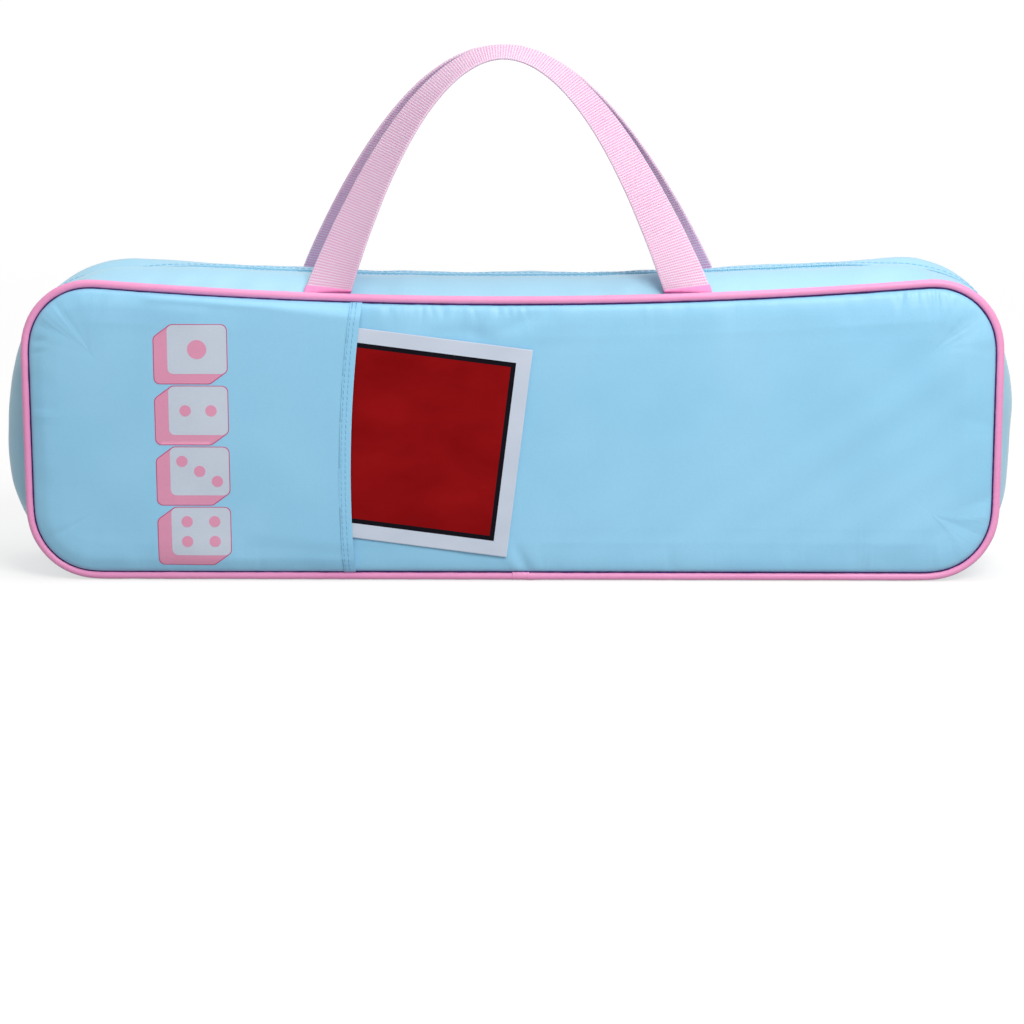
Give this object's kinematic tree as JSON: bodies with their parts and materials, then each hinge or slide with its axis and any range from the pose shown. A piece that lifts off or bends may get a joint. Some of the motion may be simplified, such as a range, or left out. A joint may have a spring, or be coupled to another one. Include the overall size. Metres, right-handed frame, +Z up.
{
  "type": "padded game rack case",
  "caption": "Long flat padded fabric case for game racks, with piped edges, a zip round three sides, web carry handles and a front pocket that holds a card.",
  "frame": {"origin": "bottom centre of the closed, standing case", "axes": "+X along the case to the right as seen from the pocket side, -Y out of the pocket side, +Z up"},
  "size_m": [0.554, 0.0877, 0.29],
  "materials": {
    "panel_satin": "satin pale blue fabric",
    "gusset_satin": "satin pale blue fabric",
    "piping_pink": "pink corded edging",
    "lining_cloth": "plain woven lining",
    "padding_foam": "soft padding",
    "binding_tape": "woven seam tape",
    "zip_tape": "woven zip tape",
    "zip_coil": "moulded coil",
    "zip_metal": "plated metal",
    "handle_web": "ribbed pink webbing",
    "card_stock": "stiff printed card"
  },
  "bodies": {
    "rear_shell": {"rear_panel": "panel_satin", "rear_padding": "padding_foam", "rear_lining": "lining_cloth", "rear_piping": "piping_pink", "gusset_rear": "gusset_satin", "bottom_strip_rear": "gusset_satin", "gusset_rear_lining": "lining_cloth", "rear_seam_binding": "binding_tape", "zip_tape_rear": "zip_tape", "zip_coil_rear": "zip_coil", "hinge_strip": "lining_cloth", "zip_tail": "zip_tape"},
    "front_cover": {"front_panel": "panel_satin", "front_padding": "padding_foam", "front_lining": "lining_cloth", "front_piping": "piping_pink", "gusset_front": "gusset_satin", "bottom_strip_front": "gusset_satin", "gusset_front_lining": "lining_cloth", "front_seam_binding": "binding_tape", "zip_tape_front": "zip_tape", "zip_coil_front": "zip_coil", "pocket_panel": "panel_satin", "pocket_hem": "panel_satin"},
    "handle_front": {"handle_front": "handle_web"},
    "handle_rear": {"handle_rear": "handle_web"},
    "zip_slider": {"zip_slider": "zip_metal"},
    "zip_puller": {"zip_puller": "zip_metal"},
    "pocket_card": {"pocket_card": "card_stock"}
  },
  "joints": [
    {"name": "cover_open", "type": "hinge", "parent": "rear_shell", "child": "front_cover", "pos_m": [0, 0, 0], "axis": [1, 0, 0], "range_deg": [0, 175], "deforming": ["hinge_strip"]},
    {"name": "handle_front_fold", "type": "hinge", "parent": "front_cover", "child": "handle_front", "pos_m": [0, -0.03385, 0.1622], "axis": [1, 0, 0], "range_deg": [0, 100]},
    {"name": "handle_rear_fold", "type": "hinge", "parent": "rear_shell", "child": "handle_rear", "pos_m": [0, 0.03385, 0.16246], "axis": [-1, 0, 0], "range_deg": [0, 100]},
    {"name": "zip_travel", "type": "hinge", "parent": "rear_shell", "child": "zip_slider", "pos_m": [-0.2148, 0, 0.062], "axis": [0, 1, 0], "range_deg": [-21, 0]},
    {"name": "puller_swing", "type": "hinge", "parent": "zip_slider", "child": "zip_puller", "pos_m": [-0.2698, 0, 0.02763], "axis": [0, 1, 0], "range_deg": [-4, 169]},
    {"name": "card_slide", "type": "slide", "parent": "front_cover", "child": "pocket_card", "axis": [1, 0, 0], "range_m": [-0.015, 0.14]}
  ]
}
